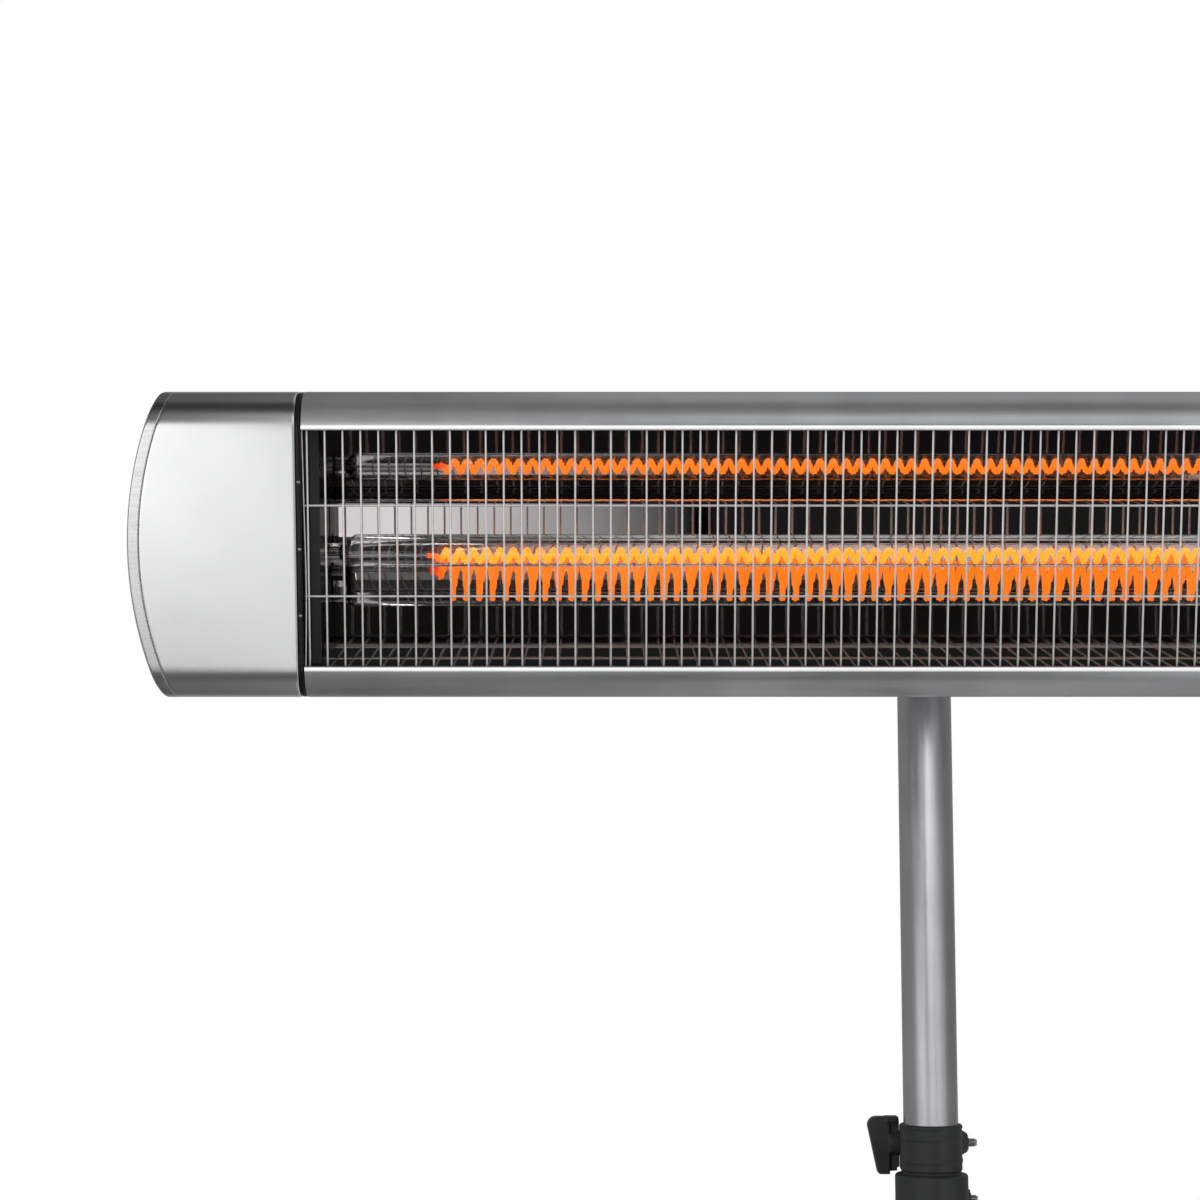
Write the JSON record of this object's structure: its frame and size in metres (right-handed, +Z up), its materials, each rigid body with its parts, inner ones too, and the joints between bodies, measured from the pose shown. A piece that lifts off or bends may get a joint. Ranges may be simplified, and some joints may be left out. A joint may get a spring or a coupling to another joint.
{
  "type": "infrared standing patio heater",
  "caption": "Infrared patio heater: long aluminium head with quartz tube, mirror reflector and wire guard, on a telescopic pole with a folding tripod.",
  "frame": {"origin": "on the floor, under the middle of the box that the whole heater fills", "axes": "+Z up, -Y the way the heater faces, +X to the right seen from in front"},
  "size_m": [0.858, 0.6798, 1.3899],
  "materials": {
    "satin_aluminium": "satin brushed",
    "pale_cover": "pale satin anodised",
    "pole_aluminium": "satin anodised",
    "mirror": "polished mirror",
    "bright_wire": "bright stainless",
    "quartz": "clear quartz",
    "glowing_wire": "glowing resistance wire",
    "ceramic": "unglazed ceramic",
    "sleeve": "woven glass sleeve",
    "black_plastic": "fine textured black",
    "black_steel": "black powder coat",
    "zinc_steel": "zinc plated",
    "rubber": "moulded rubber"
  },
  "bodies": {
    "stand": {"outer_tube": "black_steel", "tube_end_plug": "black_plastic", "base_hub": "black_plastic", "hub_screw": "zinc_steel", "clamp_collar": "black_plastic", "clamp_nut": "zinc_steel", "collar_fix_bolt": "zinc_steel", "collar_fix_nut": "zinc_steel"},
    "carriage": {"slide_plug": "black_plastic"},
    "mast": {"upper_tube": "pole_aluminium", "pole_head": "black_steel", "pole_head_screw": "zinc_steel"},
    "head": {"housing_shell": "satin_aluminium", "end_cap_left": "pale_cover", "end_cap_right": "pale_cover", "end_plate_left": "satin_aluminium", "end_plate_right": "satin_aluminium", "end_liner_left": "black_plastic", "end_liner_right": "black_plastic", "ceramic_holder_left": "ceramic", "ceramic_holder_right": "ceramic", "cold_pin_left": "zinc_steel", "cold_pin_right": "zinc_steel", "bracket_screw_left": "zinc_steel", "bracket_screw_right": "zinc_steel", "reflector": "mirror", "guard_grille": "bright_wire", "quartz_tube": "quartz", "heating_coil": "glowing_wire", "terminal_block": "ceramic", "thermal_cutout": "zinc_steel", "supply_lead_left": "sleeve", "supply_lead_right": "sleeve", "cutout_lead": "sleeve", "switch_housing": "black_plastic", "cable_gland": "black_plastic", "rear_bracket": "black_steel", "tilt_bolt": "zinc_steel", "tilt_washer": "zinc_steel"},
    "tilt_knob": {"tilt_knob": "black_plastic"},
    "rocker": {"switch_rocker": "black_plastic"},
    "clamp_lever": {"clamp_knob": "black_plastic", "clamp_bolt": "zinc_steel"},
    "yoke": {"leg_yoke": "black_plastic", "leg_pin_1": "zinc_steel", "leg_pin_2": "zinc_steel", "leg_pin_3": "zinc_steel"},
    "yoke_lock": {"yoke_knob": "black_plastic"},
    "leg_1_body": {"leg_1": "black_steel", "foot_1": "rubber"},
    "brace_1_body": {"brace_1": "black_steel"},
    "leg_2_body": {"leg_2": "black_steel", "foot_2": "rubber"},
    "brace_2_body": {"brace_2": "black_steel"},
    "leg_3_body": {"leg_3": "black_steel", "foot_3": "rubber"},
    "brace_3_body": {"brace_3": "black_steel"}
  },
  "joints": [
    {"name": "height_slide", "type": "slide", "parent": "stand", "child": "carriage", "axis": [0, 0, 1], "range_m": [-0.19, 0.5]},
    {"name": "pole_swivel", "type": "hinge", "parent": "carriage", "child": "mast", "pos_m": [0, 0.10742, 1], "axis": [0, 0, 1], "range_deg": [-180, 180]},
    {"name": "head_tilt", "type": "hinge", "parent": "mast", "child": "head", "pos_m": [0, 0.10742, 1.3319], "axis": [1, 0, 0], "range_deg": [-14, 12]},
    {"name": "tilt_knob_turn", "type": "hinge", "parent": "head", "child": "tilt_knob", "pos_m": [0.033, 0.10742, 1.3319], "axis": [1, 0, 0], "range_deg": [0, 360]},
    {"name": "switch_rock", "type": "hinge", "parent": "head", "child": "rocker", "pos_m": [-0.385, 0.07307, 1.32334], "axis": [1, 0, 0], "range_deg": [-18, 0]},
    {"name": "clamp_knob_turn", "type": "hinge", "parent": "stand", "child": "clamp_lever", "pos_m": [-0.025, 0.12942, 0.9875], "axis": [-1, 0, 0], "range_deg": [0, 360]},
    {"name": "leg_fold", "type": "slide", "parent": "stand", "child": "yoke", "axis": [0, 0, 1], "range_m": [0, 0.114]},
    {"name": "yoke_knob_turn", "type": "hinge", "parent": "yoke", "child": "yoke_lock", "pos_m": [0, 0.14342, 0.40922], "axis": [0, 1, 0], "range_deg": [0, 360]},
    {"name": "leg_1_hinge", "type": "hinge", "parent": "yoke", "child": "leg_1_body", "pos_m": [0, 0.07142, 0.40922], "axis": [1, 0, 0], "range_deg": [0, 39.7]},
    {"name": "brace_1_hinge", "type": "hinge", "parent": "leg_1_body", "child": "brace_1_body", "pos_m": [0, -0.06926, 0.26706], "axis": [1, 0, 0], "range_deg": [-79.4, 0]},
    {"name": "leg_2_hinge", "type": "hinge", "parent": "yoke", "child": "leg_2_body", "pos_m": [0.03118, 0.12542, 0.40922], "axis": [-0.5, 0.866, 0], "range_deg": [0, 39.7]},
    {"name": "brace_2_hinge", "type": "hinge", "parent": "leg_2_body", "child": "brace_2_body", "pos_m": [0.15301, 0.19576, 0.26706], "axis": [-0.5, 0.866, 0], "range_deg": [-79.4, 0]},
    {"name": "leg_3_hinge", "type": "hinge", "parent": "yoke", "child": "leg_3_body", "pos_m": [-0.03118, 0.12542, 0.40922], "axis": [-0.5, -0.866, 0], "range_deg": [0, 39.7]},
    {"name": "brace_3_hinge", "type": "hinge", "parent": "leg_3_body", "child": "brace_3_body", "pos_m": [-0.15301, 0.19576, 0.26706], "axis": [-0.5, -0.866, 0], "range_deg": [-79.4, 0]}
  ],
  "couplings": [
    {"joint": "leg_1_hinge", "follows": "leg_fold", "rad_per_m": 6.0696},
    {"joint": "brace_1_hinge", "follows": "leg_fold", "rad_per_m": -12.139},
    {"joint": "leg_2_hinge", "follows": "leg_fold", "rad_per_m": 6.0696},
    {"joint": "brace_2_hinge", "follows": "leg_fold", "rad_per_m": -12.139},
    {"joint": "leg_3_hinge", "follows": "leg_fold", "rad_per_m": 6.0696},
    {"joint": "brace_3_hinge", "follows": "leg_fold", "rad_per_m": -12.139}
  ]
}
